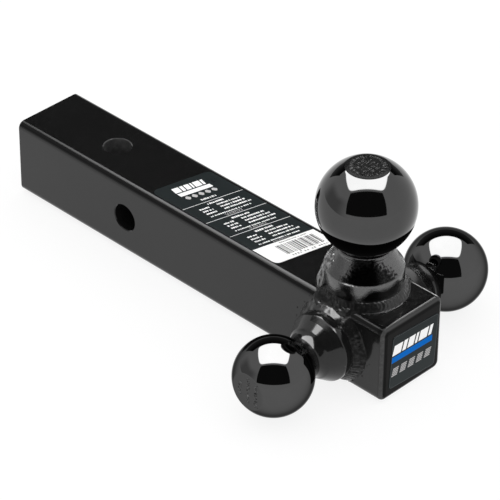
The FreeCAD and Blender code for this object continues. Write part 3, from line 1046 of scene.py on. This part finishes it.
def leaning_blocks(sheet, x0, y0, y1, widths, gap, lean):
    """A bold generic mark: solid leaning blocks of uneven width."""
    x = x0
    for width in widths:
        sheet.patch([(x, y0), (x + width, y0), (x + width + lean, y1), (x + lean, y1)])
        x += width + gap


def long_hexagons(sheet, x0, pitch, count, width, y0, y1):
    """A row of six-sided tablets."""
    middle = (y0 + y1) / 2.0
    point = (y1 - y0) / 3.0
    for number in range(count):
        x = x0 + number * pitch
        sheet.patch([(x, middle), (x + point, y0), (x + width - point, y0), (x + width, middle),
                     (x + width - point, y1), (x + point, y1)])


def on_label(x, y, lift):
    """x runs across the shank and y back along it, both in millimetres; the rows slant with the label."""
    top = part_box("rating_label")[1].z
    return Vector(((-y + LABEL_SLANT * x) * MM, x * MM, top + lift))


def make_label_prints(white, silver, paper, ink):
    draw = random.Random(77)
    bold = Print(on_label)
    leaning_blocks(bold, *LABEL_MARK)
    bold.bar(-11.2, 10.6, -37.9, -34.3)
    small_print(bold, draw, -5.2, 5.2, -48.0, 1.7, 1.1, 0.28)
    for rule in LABEL_RULES:
        bold.bar(-20.3, 20.3, -rule - 0.16, -rule + 0.16)
    for start in LABEL_BLOCKS:
        small_print(bold, draw, -5.6, 6.0, -start - 1.8, 1.6)
        for row in range(3):
            y = -(start + 4.9 + row * 3.1)
            small_print(bold, draw, -13.4, -6.4, y, 1.4)
            small_print(bold, draw, -1.6, 13.5 + 1.4 * row, y, 1.4)
        small_print(bold, draw, -13.6, 14.0, -(start + 14.5), 1.1, 1.1, 0.35)
    bold.finish("label_print_white", white, "label_vinyl")

    soft = Print(on_label)
    long_hexagons(soft, -10.8, 4.45, 5, 3.5, -43.0, -39.2)
    for start in LABEL_BLOCKS:
        for y in (start + 16.0, start + 17.3):
            small_print(soft, draw, -5.6, 5.6, -y, 0.55, 1.0, 0.3)
    soft.finish("label_print_silver", silver, "label_vinyl")
    make_bar_code(draw, paper, ink)


def make_bar_code(draw, paper, ink):
    """A white strip at the label's front end with a bar code that stands for no number."""
    corners = [(-STRIP_HALF, STRIP_BACK), (-STRIP_HALF, STRIP_FRONT),
               (STRIP_HALF, STRIP_FRONT), (STRIP_HALF, STRIP_BACK)]
    outline = [corners[0], *rounded_corner(*corners[:3], STRIP_CORNER),
               *rounded_corner(*corners[1:], STRIP_CORNER), corners[3]]
    slide = LABEL_SLANT - LABEL_END_SLANT
    strip = Print(on_label)
    strip.patch([(x, y + slide * x if y < STRIP_BACK - STRIP_CORNER else y) for x, y in outline])
    strip.finish("label_bar_code_strip", paper, "label_vinyl")

    code = Print(lambda x, y, lift: on_label(x, y, lift + PRINT_LIFT))
    x = -8.6
    while x < 16.6:
        width = draw.choice((0.4, 0.4, 0.7, 1.1))
        end = 123.4 if draw.random() < 0.85 else 124.6
        code.bar(x, x + width, -end, -112.6)
        x += width + draw.choice((0.4, 0.4, 0.6, 0.9))
    small_print(code, draw, -4.0, 14.0, -111.2, 0.9, 0.9, 0.4)
    small_print(code, draw, -7.0, 16.0, -126.2, 1.3, 0.9, 0.9)
    code.finish("label_bar_code", ink, "label_vinyl")


def on_badge(tilt, x, y, lift):
    """x runs along +Y and y along +Z of the front face, in millimetres, turned by the tilt."""
    across = x * cos(tilt) - y * sin(tilt)
    up = x * sin(tilt) + y * cos(tilt)
    return Vector((FRONT_X + lift, across * MM, up * MM))


def badge_outline(inset):
    """The badge's outline drawn in by an inset, going round from its lower right corner."""
    x, y = BADGE_WIDTH / 2.0 - BADGE_CORNER, BADGE_HEIGHT / 2.0 - BADGE_CORNER
    outline = []
    for centre, start in (((x, -y), -90.0), ((x, y), 0.0), ((-x, y), 90.0), ((-x, -y), 180.0)):
        outline += arc_points(centre, BADGE_CORNER - inset, start, start + 90.0, 8)
    return outline


def on_plate(x, y, lift):
    """The plate's own frame, about its centre."""
    centre = Vector((0.0, BADGE_CENTRE[0], BADGE_CENTRE[1])) * MM
    return on_badge(BADGE_TILT, x, y, lift) + centre


def make_badge_plate(material):
    """The badge as a plate with softened edges."""
    points = [on_plate(x, y, rise * BADGE_THICKNESS)
              for inset, rise in BADGE_EDGE for x, y in badge_outline(inset)]
    faces = capped_faces(len(BADGE_EDGE), len(points) // len(BADGE_EDGE))
    piece = make_piece("badge_plate", points, faces, [material], sharp=60.0)
    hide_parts("front_badge")


def make_badge_prints(white, silver, blue, edging):
    def on_mark(x, y, lift):
        return on_badge(MARK_TILT, x, y, BADGE_THICKNESS + lift)

    mark = Print(on_mark)
    leaning_blocks(mark, *BADGE_MARK)
    mark.finish("badge_mark_white", white, "badge_vinyl")

    stripe = Print(on_mark)
    stripe.bar(-17.1, 17.3, -1.75, 2.3)
    stripe.finish("badge_stripe_blue", blue, "badge_vinyl")

    soft = Print(on_mark)
    for number in range(5):
        for row in range(5):
            x, y = -16.6 + 6.95 * number + 0.3 * row, -11.4 + 1.15 * row
            soft.bar(x, x + 4.8, y, y + 0.75)
    soft.finish("badge_mark_silver", silver, "badge_vinyl")

    border = Print(lambda x, y, lift: on_plate(x, y, BADGE_THICKNESS + lift))
    border.rule(badge_outline(0.5), badge_outline(0.72))
    border.finish("badge_border", edging, "badge_vinyl")


# ---- assembly ----

def dress(node, material):
    """Gives a carried-over CAD node its material."""
    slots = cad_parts[node].data.materials
    slots.clear()
    slots.append(material)


black_powder_coat = make_powder_coat()
black_nickel = make_nickel("black_nickel", 0.070, 0.078, (0.03, 0.05), 1.0)
side_nickel = make_nickel("black_nickel_sides", 0.074, 0.082, (0.025, 0.04), 0.35)
satin_nickel = make_satin_nickel()
# Gloss black paint that has run over the feet of the side balls.
base_paint = make_finish("base_paint", (200.0, 4.0), greys(0.006, 0.010), (260.0, 3.0), (0.06, 0.14),
                         ((300.0, 3.0), 0.25, 0.03), ior=1.42)
dull_top = make_dull_plate("dull_top", 0.007, 0.011, 0.03)
# In the stamped marks the speckle of light and dark grey is painted highlight and painted shade.
light_mark = make_dull_plate("light_mark", 0.001, 0.095, 0.05, (0.44, 0.56))
dark_mark = make_dull_plate("dark_mark", 0.002, 0.13, 0.1, (0.44, 0.58))
# Painted shade: a near-black dull plate in the side balls' necks and on part of their bases.
painted_shade_plate = make_dull_plate("painted_shade_plate", 0.004, 0.007, 0.1)
painted_weld = make_painted_weld()
# A thin, shiny coat over the build-up run, with the grey of the weld showing through.
thin_weld_paint = make_finish("thin_weld_paint", (700.0, 4.0, 0.6, (1.0, 1.0, 0.16)),
                              greys(0.025, 0.26, 0.4, 0.62), (600.0, 3.0), (0.1, 0.24),
                              ((500.0, 5.0, 0.6), 0.3, 0.1), ((1500.0, 3.0), 0.3, 0.04), ior=1.55)
label_vinyl = make_vinyl("label_vinyl", (0.0165, 0.0215, 0.0225), (0.0180, 0.0235, 0.0245), 0.5)
badge_vinyl = make_vinyl("badge_vinyl", (0.0150, 0.0195, 0.0205), (0.0165, 0.0215, 0.0225), 0.08)
white_ink = make_print("white_ink", (0.88, 0.88, 0.88), (0.62, 0.62, 0.62))
silver_ink = make_print("silver_ink", (0.42, 0.41, 0.41), (0.16, 0.16, 0.16))
blue_ink = make_print("blue_ink", (0.0, 0.122, 0.479), (0.0, 0.098, 0.41), specular=0.02)
line_ink = make_print("line_ink", (0.058, 0.066, 0.069), (0.04, 0.046, 0.048), specular=0.1)
paper_white = make_print("paper_white", (0.86, 0.86, 0.85), (0.8, 0.8, 0.79))
black_ink = make_print("black_ink", (0.004, 0.004, 0.004), (0.02, 0.02, 0.02))

make_camera()
make_stage()
dress("shank_bar", black_powder_coat)
dress("rating_label", label_vinyl)
make_ball("large", [black_nickel, satin_nickel, dull_top, light_mark])
make_ball("small", [side_nickel, base_paint, dull_top, dark_mark, painted_shade_plate])
make_ball("medium", [side_nickel, base_paint, dull_top, dark_mark, painted_shade_plate])
for name in BALLS:
    make_weld_ring(name, painted_weld)
make_corner_puddles(painted_weld)
make_buildup_run(thin_weld_paint)
make_spatter(painted_weld)
make_label_prints(white_ink, silver_ink, paper_white, black_ink)
make_badge_plate(badge_vinyl)
make_badge_prints(white_ink, silver_ink, blue_ink, line_ink)
